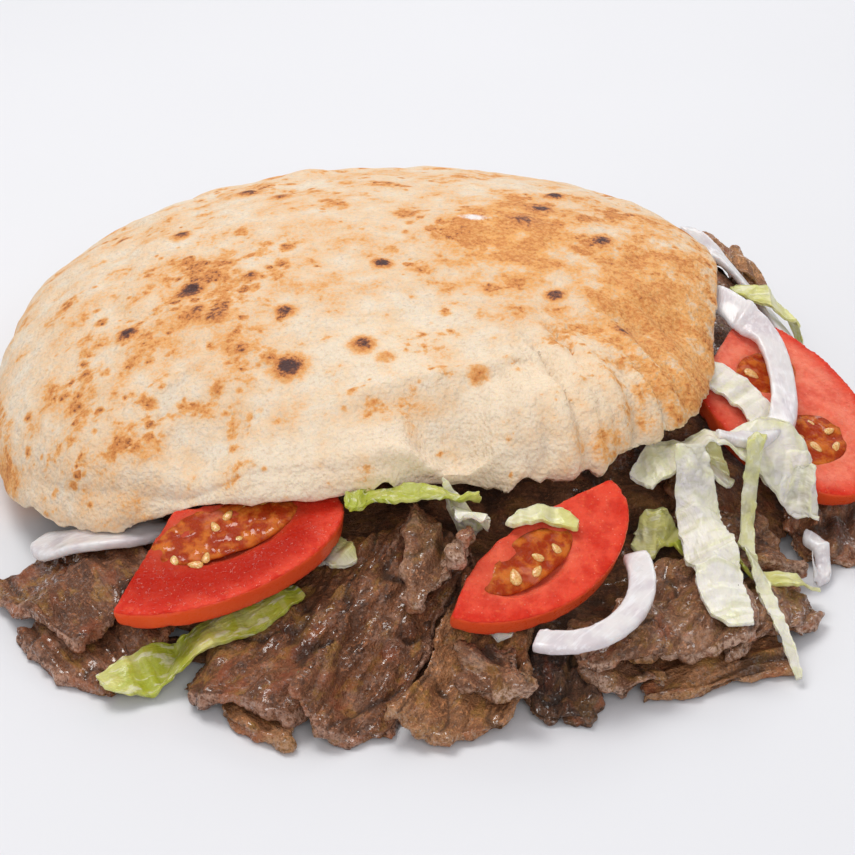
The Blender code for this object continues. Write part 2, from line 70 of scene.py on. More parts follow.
def points_of(mesh):
    """A mesh's points, (n, 3)."""
    flat = np.empty(len(mesh.vertices) * 3)
    mesh.vertices.foreach_get("co", flat)
    return flat.reshape(-1, 3)


def facing_of(mesh):
    """The way that a mesh's surface faces at its points, (n, 3)."""
    flat = np.empty(len(mesh.vertices) * 3, np.float32)
    mesh.vertex_normals.foreach_get("vector", flat)
    return flat.reshape(-1, 3).astype(float)


def reshape(mesh, points, lowest=0.0):
    """Move a mesh's points, none of them lower than a height above the table."""
    points = np.column_stack([points[:, :2], np.maximum(points[:, 2], lowest)])
    mesh.vertices.foreach_set("co", points.ravel())
    mesh.update()


def note(mesh, name, values):
    """Keep a number or a vector for each point, for the finish to read."""
    vector = values.ndim == 2
    kept = mesh.attributes.new(name, "FLOAT_VECTOR" if vector else "FLOAT", "POINT")
    kept.data.foreach_set("vector" if vector else "value", values.astype(np.float32).ravel())


def fine_copy(name, node, face_size, rounding, curving=0, corners=0.0):
    """A solid's shape in a new piece, in small faces with its corners rounded.

    curving is how many times its faces are first divided along a smooth curve, and
    corners how sharp its edges stay.  Faces of an even size follow, unless face_size
    is 0.  rounding is how many times the corners are then rounded off.
    """
    same_point, flat_angle, square_angle, edge_angle = 0.001 * MM, radians(12), radians(60), radians(45)
    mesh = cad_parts[node].data.copy()
    shell = bmesh.new()
    shell.from_mesh(mesh)
    bmesh.ops.remove_doubles(shell, verts=shell.verts[:], dist=same_point)
    bmesh.ops.join_triangles(shell, faces=shell.faces[:], angle_face_threshold=flat_angle,
                             angle_shape_threshold=square_angle)
    kept = shell.edges.layers.float.new("crease_edge")
    for edge in shell.edges:
        edge[kept] = corners if edge.calc_face_angle(0) > edge_angle else 0
    shell.to_mesh(mesh)
    shell.free()
    piece = bpy.data.objects.new(name, mesh)
    bpy.context.scene.collection.objects.link(piece)
    if curving:
        curved = piece.modifiers.new("curving", "SUBSURF")
        curved.levels = curving
    if face_size:
        even = piece.modifiers.new("even faces", "REMESH")
        even.mode = "VOXEL"
        even.voxel_size = face_size
    soft = piece.modifiers.new("rounding", "SMOOTH")
    soft.factor = 0.5
    soft.iterations = rounding
    shaped = piece.evaluated_get(bpy.context.evaluated_depsgraph_get())
    mesh = bpy.data.meshes.new_from_object(shaped)
    piece.modifiers.clear()
    piece.data = mesh
    mesh.materials.clear()
    mesh.shade_smooth()
    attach(piece, "root")
    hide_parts(node)
    return piece


class Amount:
    """A value in a finish, so that sums of values can be written as sums."""

    def __init__(self, finish, socket):
        self.finish = finish
        self.socket = socket

    def sum(self, operation, first, second):
        return self.finish.node("ShaderNodeMath", {"operation": operation}, {0: first, 1: second})

    def __add__(self, other):
        return self.sum("ADD", self, other)

    __radd__ = __add__

    def __mul__(self, other):
        return self.sum("MULTIPLY", self, other)

    __rmul__ = __mul__

    def __sub__(self, other):
        return self.sum("SUBTRACT", self, other)

    def __rsub__(self, other):
        return self.sum("SUBTRACT", other, self)

    def most(self, other):
        """The larger of two values."""
        return self.sum("MAXIMUM", self, other)

    def between(self, low, high):
        """0 below low, 1 above high, eased between; low may be the higher."""
        settings = {"interpolation_type": "SMOOTHSTEP"}
        return self.finish.node("ShaderNodeMapRange", settings, {0: self, 1: low, 2: high})


class Finish:
    """A food's surface: a material whose colour, gloss and grain are made of values."""

    def __init__(self, name, **fixed):
        self.material = bpy.data.materials.new(name)
        self.material.use_nodes = True
        self.tree = self.material.node_tree
        self.shader = self.tree.nodes["Principled BSDF"]
        self.place = self.node("ShaderNodeTexCoord", {}, {}, "Object")
        for name, value in fixed.items():
            self.shader.inputs[name.replace("_", " ")].default_value = value

    def fill(self, socket, value):
        if isinstance(value, Amount):
            self.tree.links.new(value.socket, socket)
        elif isinstance(value, tuple) and socket.type == "RGBA":
            socket.default_value = (*value, 1)
        else:
            socket.default_value = value

    def node(self, kind, settings, values, output=0):
        """Any node: its settings, its sockets' values by name or number, and what it gives."""
        made = self.tree.nodes.new(kind)
        for name, value in settings.items():
            setattr(made, name, value)
        for name, value in values.items():
            self.fill(made.inputs[name], value)
        return Amount(self, made.outputs[output])

    def spots(self, size, detail=3.0, place=None, crisp=0.55):
        """Cloudy noise about 0.5, with blots of a size in metres."""
        values = {"Vector": place or self.place, "Scale": 1 / size, "Detail": detail, "Roughness": crisp}
        return self.node("ShaderNodeTexNoise", {}, values)

    def cells(self, size, output="Distance"):
        """Scattered points: how far the nearest is, as a share of their spacing, or its chance Color."""
        return self.node("ShaderNodeTexVoronoi", {}, {"Vector": self.place, "Scale": 1 / size}, output)

    def stretched(self, place, x, y, z):
        """Places with each direction scaled."""
        return self.node("ShaderNodeVectorMath", {"operation": "MULTIPLY"}, {0: place, 1: (x, y, z)})

    def apart(self, place, spot):
        """How far places are from one spot."""
        return self.node("ShaderNodeVectorMath", {"operation": "DISTANCE"}, {0: place, 1: spot}, "Value")

    def read(self, name, output="Fac"):
        """What the mesh notes under a name."""
        return self.node("ShaderNodeAttribute", {"attribute_name": name}, {}, output)

    def mix(self, first, second, share):
        """From the first colour to the second."""
        return self.node("ShaderNodeMix", {"data_type": "RGBA"}, {0: share, 6: first, 7: second}, 2)

    def painted(self, colour, *coats):
        """A colour with coats of others over it, each a colour and its share."""
        for coat, share in coats:
            colour = self.mix(colour, coat, share)
        return colour

    def show(self, colour, roughness, height=None, depth=0.3 * MM):
        """Give the surface its colour and gloss, and a grain that is up to a depth high."""
        self.fill(self.shader.inputs["Base Color"], colour)
        self.fill(self.shader.inputs["Roughness"], roughness)
        if height:
            values = {"Height": height, "Distance": depth, "Strength": 1.0}
            self.fill(self.shader.inputs["Normal"], self.node("ShaderNodeBump", {}, values))
        return self.material


def times(values, share):
    """A colour or a place with each part multiplied."""
    return tuple(share * part for part in values)


# How places are drawn out along the fibres of the meat.
FIBRE = (0.22, 1, 1)
AMBER_FAT = (0.36, 0.17, 0.035)
WHITE_FAT = (0.50, 0.36, 0.24)
RUDDY, RUDDY_EDGE = (0.34, 0.085, 0.03), (0.42, 0.13, 0.045)


def meat_finish(name, lean, seared, cut, fat, wet):
    """Roast meat: lean and seared colours, its paler cut edge, and how fatty and wet it is."""
    finish = Finish(name, Subsurface_Weight=0.06, Subsurface_Scale=0.002, Specular_IOR_Level=0.4,
                    Coat_Roughness=0.08)
    finish.shader.inputs["Subsurface Radius"].default_value = (1.0, 0.35, 0.2)
    grain = finish.read("grain", "Vector")
    fibres = finish.spots(1.2 * MM, 4, finish.stretched(grain, *FIBRE), 0.65)
    broad = finish.spots(9 * MM, 3)
    blots = finish.spots(7 * MM, 3, None, 0.6)
    patches = finish.spots(4.5 * MM, 4, finish.stretched(grain, 0.6, 1, 1))
    ruddy = finish.spots(6 * MM, 3, finish.stretched(grain, 0.4, 1, 1))
    crumbs = finish.spots(1.1 * MM, 3, None, 0.7)
    specks = finish.spots(0.6 * MM, 2)
    drops = finish.spots(0.9 * MM, 2, None, 0.6)
    edge = finish.read("rim").between(0.25, 0.75)
    colour = finish.painted(
        lean,
        (seared, broad.between(0.40, 0.60)),
        (times(seared, 0.5), patches.between(0.55, 0.72)),
        (AMBER_FAT, patches.between(0.48, 0.36) * fat * 0.9),
        (cut, blots.between(0.57, 0.68) * 0.45),
        (times(lean, 2.3), crumbs.between(0.54, 0.68) * 0.6),
        (times(lean, 0.35), crumbs.between(0.46, 0.30) * 0.7),
        (times(lean, 0.40), fibres.between(0.46, 0.34) * 0.75),
        (times(lean, 2.0), fibres.between(0.56, 0.68) * 0.5),
        (RUDDY, ruddy.between(0.57, 0.70) * 0.55),
        (cut, edge * crumbs.between(0.38, 0.60)),
        (RUDDY_EDGE, edge * ruddy.between(0.50, 0.62) * 0.6),
        (WHITE_FAT, specks.between(0.64, 0.72) * 0.5 * fat),
        # Painted shade: the noted hollows, the creases, pits and dips, are painted darker.
        (times(lean, 0.15), finish.read("hollow").between(0.25, 1.0) * 0.8))
    damp = broad.between(0.62, 0.42) * crumbs.between(0.50, 0.58)
    beads = drops.between(0.52, 0.60) * broad.between(0.62, 0.46)
    glints = specks.between(0.57, 0.62)
    finish.fill(finish.shader.inputs["Coat Weight"], (0.3 * damp + 1.4 * beads + 1.2 * glints) * wet)
    height = 0.9 * fibres + crumbs + 0.7 * patches + 0.5 * specks
    return finish.show(colour, 0.60 - 0.25 * wet * damp, height, 1.1 * MM)


DARK_MEAT = meat_finish("dark loose meat", (0.225, 0.092, 0.040), (0.130, 0.050, 0.021),
                        (0.11, 0.05, 0.03), 0.5, 0.7)
HEAP_FACE = 1.6 * MM
# How deep the heap's surface sinks before its painted shade is at its darkest.
HEAP_SHADE_DEPTH = 1.2 * MM

heap = fine_copy("loose_meat", "meat_heap", HEAP_FACE, 3)
points = points_of(heap.data)
scraps = 1.3 * MM * rough(points, 10 * MM, 3)
shreds = 0.7 * MM * rough(points, 3.5 * MM, 7)
swell = scraps + shreds
note(heap.data, "grain", points)
note(heap.data, "rim", np.zeros(len(points)))
# Where the heap sinks it is noted as a hollow, for painted shade.
note(heap.data, "hollow", np.clip(-swell / HEAP_SHADE_DEPTH, 0, 1))
reshape(heap.data, points + facing_of(heap.data) * swell[:, None])
heap.data.materials.append(DARK_MEAT)


# ---------------------------------------------------------------- the slices of meat
# Slices 3 to 5 mm thick, shaved down the side of the spit.  Their fibres run along
# them, the seared face is brown, the cut edges are torn and a pinkish grey, and fat
# and juices leave them glossy.

GREY_MEAT = meat_finish("grey-brown slice", (0.250, 0.094, 0.038), (0.150, 0.052, 0.019),
                        (0.50, 0.27, 0.18), 0.9, 1.0)
PINK_MEAT = meat_finish("pinkish slice", (0.330, 0.150, 0.072), (0.200, 0.080, 0.036),
                        (0.60, 0.38, 0.27), 0.7, 1.0)
BROWN_MEAT = meat_finish("browned slice", (0.400, 0.172, 0.068), (0.245, 0.095, 0.035),
                         (0.52, 0.27, 0.13), 1.0, 1.0)
CRISP_MEAT = meat_finish("crisp outer slice", (0.50, 0.24, 0.10), (0.26, 0.10, 0.04),
                         (0.55, 0.30, 0.16), 0.8, 0.8)
CHARRED_MEAT = meat_finish("charred slice", (0.125, 0.058, 0.030), (0.045, 0.022, 0.014),
                           (0.22, 0.105, 0.055), 0.4, 0.9)

# Each slice: its finish, how deep its creases are and how ragged its edge is.
SLICES = {
    "01": (GREY_MEAT, 1.0, 1.0), "02": (GREY_MEAT, 1.2, 1.2), "03": (GREY_MEAT, 1.0, 0.9),
    "04": (GREY_MEAT, 1.1, 1.0), "05": (PINK_MEAT, 1.3, 1.2), "06": (BROWN_MEAT, 1.4, 1.4),
    "07": (BROWN_MEAT, 0.8, 1.0), "08": (PINK_MEAT, 1.8, 1.5), "09": (CHARRED_MEAT, 1.8, 1.8),
    "10": (GREY_MEAT, 1.2, 1.0), "11": (PINK_MEAT, 1.2, 1.2), "12": (PINK_MEAT, 1.4, 1.3),
    "13": (BROWN_MEAT, 1.1, 1.0), "14": (PINK_MEAT, 1.5, 1.3), "15": (CRISP_MEAT, 1.4, 1.5),
    "16": (PINK_MEAT, 1.4, 1.4), "17": (PINK_MEAT, 1.3, 1.2),
}


def long_way(points):
    """The heading in which points seen from above are spread the most."""
    spread = np.linalg.eigh(np.cov(points[:, :2].T))[1][:, 1]
    return atan2(spread[1], spread[0])


def laid_along(points, heading):
    """Places along, across and up from a heading."""
    x, y, z = points.T
    return np.stack([x * cos(heading) + y * sin(heading), y * cos(heading) - x * sin(heading), z], 1)


def rim_of(facing):
    """1 round the edge of a thin piece that lies flat, 0 on its two faces."""
    return np.clip(1.25 - 1.35 * np.abs(facing[:, 2]), 0, 1)


def bell(values, middle, width):
    """1 where values are at a middle, easing to 0 a few widths away."""
    return np.exp(-((values - middle) / width) ** 2)


# The slices' faces, the least height of one over the table, and how their surface
# stands out or sinks, in mm.
SLICE_FACE = 0.72 * MM
LEAST_HEIGHT = 0.1 * MM
BULGE, FIBRE_RIDGE, CREASE_DEPTH, PIT_DEPTH = 1.3, 1.2, 0.75, 0.9
WIDE_TEAR, FINE_TEAR, TEAR_SINK = 1.1, 0.75, 0.2

for number, (finish, creased, ragged) in SLICES.items():
    piece = fine_copy("meat_" + number, "meat_slice_" + number, SLICE_FACE, 1, 2, 0.9)
    mesh = piece.data
    points, facing = points_of(mesh), facing_of(mesh)
    seed = 10 * int(number)
    grain = laid_along(points, long_way(points))
    rim = rim_of(facing)
    swell = BULGE * rough(grain * (0.5, 1, 1), 9 * MM, seed)
    swell += FIBRE_RIDGE * rough(grain * FIBRE, 2.6 * MM, seed + 1, 2)
    crease = bell(noise(grain * (0.35, 1, 1), 7 * MM, seed + 2), 0, 0.07)
    pits = np.clip(noise(points, 2.6 * MM, seed + 3) - 0.35, 0, 1)
    swell -= (CREASE_DEPTH * crease + PIT_DEPTH * pits) * (1 - rim)
    tear = WIDE_TEAR * rough(points, 9 * MM, seed + 4, 2)
    tear += FINE_TEAR * rough(points, 2.6 * MM, seed + 5, 2) - TEAR_SINK
    note(mesh, "grain", grain)
    note(mesh, "rim", rim)
    # Creases and pits are noted as hollows, for painted shade.
    note(mesh, "hollow", np.clip((crease * 0.9 + pits) * (1 - rim), 0, 1))
    stands_out = (swell * creased + tear * rim * ragged) * MM
    reshape(mesh, points + facing * stands_out[:, None], LEAST_HEIGHT)
    mesh.materials.append(finish)


# ---------------------------------------------------------------- the onion
# Raw white onion cut across into rings 3 mm thick and parted: translucent, moist,
# with fine lines round the ring and a faint pink where its skin was.

onion_finish = Finish("raw onion", Subsurface_Weight=0.6, Subsurface_Scale=0.004, Coat_Weight=0.5,
                      Coat_Roughness=0.1)
onion_finish.shader.inputs["Subsurface Radius"].default_value = (1.0, 0.8, 0.7)
onion_grain = onion_finish.stretched(onion_finish.read("grain", "Vector"), 0.12, 1, 1)
onion_lines = onion_finish.spots(0.9 * MM, 3, onion_grain)
onion_cloud = onion_finish.spots(7 * MM, 3)
onion_colour = onion_finish.painted(
    (0.77, 0.725, 0.71),
    ((0.65, 0.585, 0.60), onion_cloud.between(0.4, 0.65)),
    ((0.90, 0.87, 0.88), onion_lines.between(0.48, 0.7) * 0.55))
ONION = onion_finish.show(onion_colour, 0.22 + 0.2 * onion_cloud, onion_lines, 0.15 * MM)
ONION_FACE = 0.5 * MM
ONION_UNEVEN = 0.12 * MM


def middle_of(values, along):
    """How large values are in the middle of a strip, beside each of its points."""
    bands = np.linspace(along.min(), along.max(), 25)
    near = np.round((along - bands[0]) / (bands[1] - bands[0])).astype(int)
    return np.interp(along, bands, np.bincount(near, values) / np.bincount(near))


def hung(points, along, heights):
    """Points raised or lowered so that the middle of a strip is at given heights along it, in mm."""
    moved = points.copy()
    moved[:, 2] += np.interp(along, *zip(*heights)) * MM - middle_of(points[:, 2], along)
    return moved


def ramp(values, start, end):
    """0 up to a start, 1 from an end, even between; the end may be the lower."""
    return np.clip((values - start) / (end - start), 0, 1)


# The big half ring lies over the tomato and on to the bread.  Its middle, the height of
# its band at headings round it, in mm, and its far end: from where to where it turns, how
# much it leans to the front and widens, and how thick it is to each side.
RING_MIDDLE = np.array([86, -36]) * MM
RING_HEIGHTS = [(-85, 33), (-65, 30), (-40, 28), (-9, 29), (10, 31.5), (29, 34.5), (45, 37.5),
                (55, 38.8), (67, 39.6), (80, 39.8), (98, 38.5)]
FAR_END = (38, 63)
FAR_LEAN, FAR_WIDER, FAR_THINNER, FAR_THICK = 0.55, 0.35, 0.4, 1.3 * MM
# The bend before the far end: its heading, how long it is and how much it is cut short.
BEND, BEND_LENGTH, BEND_CUT = 56, 13, 0.09


def big_ring(points):
    """The big half ring's points, laid over what is under it."""
    away = points[:, :2] - RING_MIDDLE
    reach = np.hypot(*away.T)
    turned = np.degrees(np.arctan2(away[:, 1], away[:, 0]))
    far = ramp(turned, *FAR_END)
    points = hung(points, turned, RING_HEIGHTS)
    over = far * (reach - middle_of(reach, turned))
    middle = np.interp(turned, *zip(*RING_HEIGHTS)) * MM
    thick = (points[:, 2] - middle) * (1 - FAR_THINNER * far)
    thick += far * (np.clip(thick, -FAR_THICK, FAR_THICK) - thick)
    points[:, 2] = middle + thick + FAR_LEAN * over
    points[:, :2] += away / reach[:, None] * (FAR_WIDER * over)[:, None]
    points[:, :2] -= away * (BEND_CUT * bell(turned, BEND, BEND_LENGTH))[:, None]
    return points


# The broad strip at the left lies a little further in than its solid, and is wider.
STRIP_SHIFT = np.array([0, 3, 1]) * MM
STRIP_WIDER = 0.25


def broad_strip(points, grain):
    """The broad strip's points, shifted and widened."""
    points = points + STRIP_SHIFT
    across = long_way(points) + pi / 2
    wider = STRIP_WIDER * (grain[:, 1] - grain[:, 1].mean())
    points[:, :2] += wider[:, None] * (cos(across), sin(across))
    return points


for node in sorted(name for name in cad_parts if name.startswith("onion")):
    piece = fine_copy(node.replace("onion_", "onion_piece_"), node, ONION_FACE, 9, 2, 0.6)
    mesh = piece.data
    points, facing = points_of(mesh), facing_of(mesh)
    grain = laid_along(points, long_way(points))
    note(mesh, "grain", grain)
    if node == "onion_ring_3":
        points = big_ring(points)
    if node == "onion_strip_1":
        points = broad_strip(points, grain)
    uneven = ONION_UNEVEN * rough(points, 5 * MM, len(node))
    reshape(mesh, points + facing * uneven[:, None])
    mesh.materials.append(ONION)


# ---------------------------------------------------------------- the lettuce
# Crisp lettuce shredded into ribbons: pale cream near the rib, yellow-green to green
# at the leaf's edge, crinkled, thin enough to let light through, with raised veins.

leaf_finish = Finish("lettuce", Subsurface_Weight=0.4, Subsurface_Scale=0.003, Coat_Roughness=0.12)
leaf_finish.shader.inputs["Subsurface Radius"].default_value = (0.8, 1.0, 0.3)
leaf_grain = leaf_finish.read("grain", "Vector")
leaf_share = leaf_finish.read("leaf")
leaf_veins = leaf_finish.spots(1.5 * MM, 2, leaf_finish.stretched(leaf_grain, 0.25, 1, 1))
leaf_cloud = leaf_finish.spots(6 * MM, 3, leaf_finish.stretched(leaf_grain, 0.6, 1, 1))
leaf_fine = leaf_finish.spots(0.8 * MM, 2)
leaf_ribs = leaf_finish.spots(1.9 * MM, 1, leaf_finish.stretched(leaf_grain, 1, 0.16, 0.16), 0.4)
leaf_amount = leaf_share + 0.9 * leaf_cloud
leaf_colour = leaf_finish.painted(
    (0.86, 0.83, 0.66),
    ((0.66, 0.64, 0.20), leaf_amount.between(0.45, 1.0)),
    ((0.40, 0.44, 0.03), leaf_amount.between(0.96, 1.25)),
    ((0.50, 0.52, 0.22), leaf_fine.between(0.54, 0.68) * 0.10),
    ((0.88, 0.88, 0.66), leaf_veins.between(0.56, 0.66) * 0.5),
    ((0.55, 0.56, 0.24), leaf_ribs.between(0.50, 0.36) * 0.35))
leaf_finish.fill(leaf_finish.shader.inputs["Coat Weight"], 0.2 + leaf_cloud.between(0.5, 0.6) * 0.5)
leaf_height = leaf_veins + leaf_ribs + 0.3 * leaf_fine
LEAF = leaf_finish.show(leaf_colour, 0.30 + 0.3 * leaf_fine, leaf_height, 0.5 * MM)

# Each shred: how green it is at its middle, and how much greener at its far end.
SHREDS = {
    "01": (0.62, -0.12), "02": (0.35, 0.1), "03": (0.78, 0.1), "04": (0.05, 0.1), "05": (0.35, -0.2),
    "06": (-0.05, 0.0), "07": (0.12, 0.1), "08": (0.05, 0.0), "09": (0.22, 0.15), "10": (0.50, 0.2),
    "11": (0.60, -0.2), "12": (-0.05, 0.1), "13": (0.35, 0.2), "14": (0.45, 0.1), "15": (0.10, 0.1),
}
# A shred with one greener stretch: where it is along X and how long, in mm, and how much greener.
GREEN_STRETCH = {"01": (-42, 8, 0.35)}
# Shreds that bridge a gap: the height of their middle at places along X, in mm.
BRIDGES = {"03": [(-2, 32.5), (8, 34.5), (20, 35.5), (30, 34.5)],
           "07": [(66, 27), (75, 29.5), (86, 33), (95, 29.5), (104, 26), (114, 23)]}
# How much thinner than its solid a shred is, how deep its edge is notched, how high it
# is crinkled and pleated, and how far a point may stand above the others, in mm.
LEAF_THINNER, NOTCH, CRINKLE, PLEAT, STAND_UP = 0.30, 0.5, 0.55, 0.9, 0.5

for number, (green, greener) in SHREDS.items():
    piece = fine_copy("lettuce_" + number, "lettuce_shred_" + number, 0, 1, 4, 0.6)
    mesh = piece.data
    points, facing = points_of(mesh), facing_of(mesh)
    seed = 200 + 10 * int(number)
    grain = laid_along(points, long_way(points))
    share = (grain[:, 0] - grain[:, 0].min()) / np.ptp(grain[:, 0]) * 2 - 1
    rim = rim_of(facing)
    leaf = green + greener * share
    if number in GREEN_STRETCH:
        place, length, more = GREEN_STRETCH[number]
        leaf += more * bell(points[:, 0] / MM, place, length)
    note(mesh, "grain", grain)
    note(mesh, "leaf", leaf)
    stands_out = rim * NOTCH * rough(points, 2.5 * MM, seed + 3) - LEAF_THINNER * (1 - rim)
    moved = points + facing * (stands_out * MM)[:, None]
    moved[:, 2] = np.minimum(moved[:, 2], np.percentile(moved[:, 2], 96) + STAND_UP * MM)
    if number in BRIDGES:
        moved = hung(moved, points[:, 0] / MM, BRIDGES[number])
    moved[:, 2] += CRINKLE * MM * rough(grain * (0.8, 1, 0.2), 5.5 * MM, seed)
    moved[:, 2] += PLEAT * MM * noise(grain * (1, 0.12, 0.1), 2.6 * MM, seed + 5)
    reshape(mesh, moved, LEAST_HEIGHT)
    mesh.materials.append(LEAF)


# ---------------------------------------------------------------- the tomato
# Slices of ripe tomato about 6 mm thick, cut once or twice more across.  The skin is
# a thin glossy vermilion band, the wall under it red to salmon and wet, and the hollows
# of the core hold amber jelly with flat pale seeds.

# Each slice: centre and rise (as it lies), heading of its length, half sizes, the
# hollows (along, across, half length, half width) and the seeds in them (along, across,
# heading), all in mm and degrees.
TOMATOES = {
    "1": ((-31, -101.5), (0.11, 0.26), 22, (32, 17), [(4, 1, 15, 6.5)],
          [(-10, 1, 75), (-6, -3, 150), (-3, -2, 60), (2, 6, 95), (6, 8, 40), (11, 9, 15), (15, 8, 10),
           (5, 0, 170)]),
    "2": ((41, -106.5), (-0.08, 0.36), 43, (29, 16), [(-4, -5, 12, 5)],
          [(-9, -5, 60), (-4, -7, 20), (-1, -4, 110), (4, -5, 80)]),
    "3": ((108, -37), (-0.22, 0.32), -55, (33, 21), [(-10, 2, 7, 9), (13, -1, 9, 10)],
          [(9, 2, 30), (13, 5, 90), (16, -2, 10), (11, -5, 60), (18, 3, 120), (14, -8, 40), (-8, 5, 70),
           (-11, -2, 20)]),
}
# Where the jelly runs wider than the hollow that it fills, how much a slice is wider to
# both sides than its solid, and how deep a red it is, from -1 for pale to 1: partly the
# flesh's own colour, and partly painted shade on slice 1 and painted light on slices 2
# and 3, for how they face the lamps.
JELLIES = {"1": [(4, 5.0, 19, 8.5)], "2": [(-3.5, -3, 14, 6.2)]}
WIDER = {"1": 0, "2": 2.4, "3": 0}
RIPE_AND_PAINTED_LIGHT = {"1": 1.0, "2": -0.1, "3": -0.4}

TOMATO_FACE = 0.5 * MM
TOMATO_THICK = 5.8
# Where the skin starts and where it is full, as shares of a slice's half sizes.
SKIN_START, SKIN_FULL = 0.93, 0.98
# How far the core reaches past its jelly, and how uneven the cut is and the core's edge.
CORE_MARGIN, CUT_UNEVEN, EDGE_WAVE = 2.5, 0.10, 0.35
# Jelly is 1 mm high to each side of a plane a little under the cut, wavy, and not quite
# as wide as its hollow.
JELLY_HIGH, JELLY_SUNK, JELLY_WAVE, JELLY_INSIDE = 1.0, 0.72, 0.55, 0.98
# A seed's half length, width and thickness, how much narrower its tip is, how far it is
# sunk in the jelly, and how much seeds differ in size and in how deep they lie.
SEED_HALF, SEED_TAPER, SEED_SUNK = (2.4, 1.35, 0.7), 0.35, 0.12
SEED_SIZES, SEED_DEPTHS = 0.2, 0.25
# How many rows of faces the jelly and a seed have, and how many faces are in a row.
JELLY_ROWS, SEED_ROWS = (16, 28), (8, 12)

flesh = Finish("tomato flesh", Subsurface_Weight=0.25, Subsurface_Scale=0.004, Specular_IOR_Level=0.05,
               Coat_Roughness=0.06)
flesh.shader.inputs["Subsurface Radius"].default_value = (1.0, 0.25, 0.1)
flesh_cloud = flesh.spots(5 * MM, 4)
flesh_grain = flesh.spots(1.1 * MM, 3)
flesh_streaks = flesh.spots(4 * MM, 3).between(0.35, 0.65)
sparkle = flesh.spots(0.8 * MM, 1).between(0.60, 0.66)
flesh_skin = flesh.read("skin")
flesh_ripe_and_painted_light = flesh.read("ripe_and_painted_light")
flesh_outer = flesh.read("outer")
# Slice 1 is painted a deeper red, as painted shade, and slices 2 and 3 paler, as painted light, for how
# each faces the lamps.
unripe_and_painted_light = (-1 * flesh_ripe_and_painted_light).between(0.0, 0.5) * flesh_outer.between(0.98, 0.78)
flesh_colour = flesh.painted(
    (0.64, 0.030, 0.014),
    ((0.78, 0.068, 0.034), flesh_cloud.between(0.38, 0.62)),
    ((0.86, 0.16, 0.06), flesh_grain.between(0.55, 0.72) * 0.4),
    ((0.42, 0.010, 0.001), flesh_ripe_and_painted_light * 0.85 * flesh_outer.between(1.0, 0.6)),
    ((0.92, 0.27, 0.17), unripe_and_painted_light * (0.25 + 0.45 * flesh_streaks + 0.3 * flesh_grain)),
    ((0.86, 0.26, 0.13), flesh.read("core").between(0.35, 1.0) * (0.05 + 0.4 * flesh_cloud)),
    ((0.90, 0.42, 0.30), flesh.cells(1.5 * MM).between(0.16, 0.05) * 0.35),
    ((0.84, 0.095, 0.026), flesh_skin.between(0.3, 0.75)))
flesh.fill(flesh.shader.inputs["Coat Weight"], sparkle * (1 - flesh_skin) * 0.15 + 0.3 * flesh_skin)
flesh_height = (flesh_grain + sparkle * 0.3) * (1 - flesh_skin)
FLESH = flesh.show(flesh_colour, 0.42 - 0.25 * flesh_grain, flesh_height, 0.3 * MM)

jelly = Finish("tomato jelly", Subsurface_Weight=0.4, Subsurface_Scale=0.004, Coat_Roughness=0.05,
               Specular_IOR_Level=0.08)
jelly.shader.inputs["Subsurface Radius"].default_value = (1.0, 0.3, 0.1)
jelly_cloud = jelly.spots(3.5 * MM, 3)
jelly_pith = jelly.spots(8 * MM, 2, None, 0.7)
jelly_colour = jelly.painted(
    (0.36, 0.036, 0.006),
    ((0.60, 0.15, 0.02), jelly_cloud.between(0.42, 0.66)),
    ((0.80, 0.28, 0.17), jelly_pith.between(0.58, 0.66) * 0.3))
jelly.fill(jelly.shader.inputs["Coat Weight"], jelly.spots(2.2 * MM, 2).between(0.58, 0.66) * 0.9)
jelly_height = jelly_cloud + 0.15 * jelly.spots(1.2 * MM, 2)
JELLY = jelly.show(jelly_colour, 0.25 + 0.3 * jelly_cloud, jelly_height, 1.2 * MM)

seed_coat = Finish("tomato seed", Subsurface_Weight=0.4, Subsurface_Scale=0.002, Coat_Weight=0.8,
                   Coat_Roughness=0.05)
seed_hairs = seed_coat.spots(0.5 * MM, 2)
seed_colour = seed_coat.mix((0.70, 0.30, 0.06), (0.84, 0.50, 0.17), seed_hairs.between(0.4, 0.6))
SEED = seed_coat.show(seed_colour, 0.3 + 0.2 * seed_hairs, seed_hairs, 0.15 * MM)


def new_piece(name, points, faces, material):
    """A piece made from points and faces."""
    mesh = bpy.data.meshes.new(name)
    mesh.from_pydata([tuple(p) for p in points], [], faces)
    mesh.shade_smooth()
    mesh.materials.append(material)
    piece = bpy.data.objects.new(name, mesh)
    bpy.context.scene.collection.objects.link(piece)
    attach(piece, "root")


def ball(rows, around):
    """A closed ball of radius 1: its points and faces."""
    points = [(0, 0, 1)]
    for row in range(1, rows):
        tilt = pi * row / rows
        for n in range(around):
            turn = 2 * pi * n / around
            points.append((sin(tilt) * cos(turn), sin(tilt) * sin(turn), cos(tilt)))
    points.append((0, 0, -1))
    last = len(points) - 1
    beside = [(n, (n + 1) % around) for n in range(around)]
    faces = [(0, 1 + n, 1 + after) for n, after in beside]
    for first in range(1, last - around, around):
        below = first + around
        faces += [(first + n, below + n, below + after, first + after) for n, after in beside]
    faces += [(last, last - around + after, last - around + n) for n, after in beside]
    return np.array(points), faces


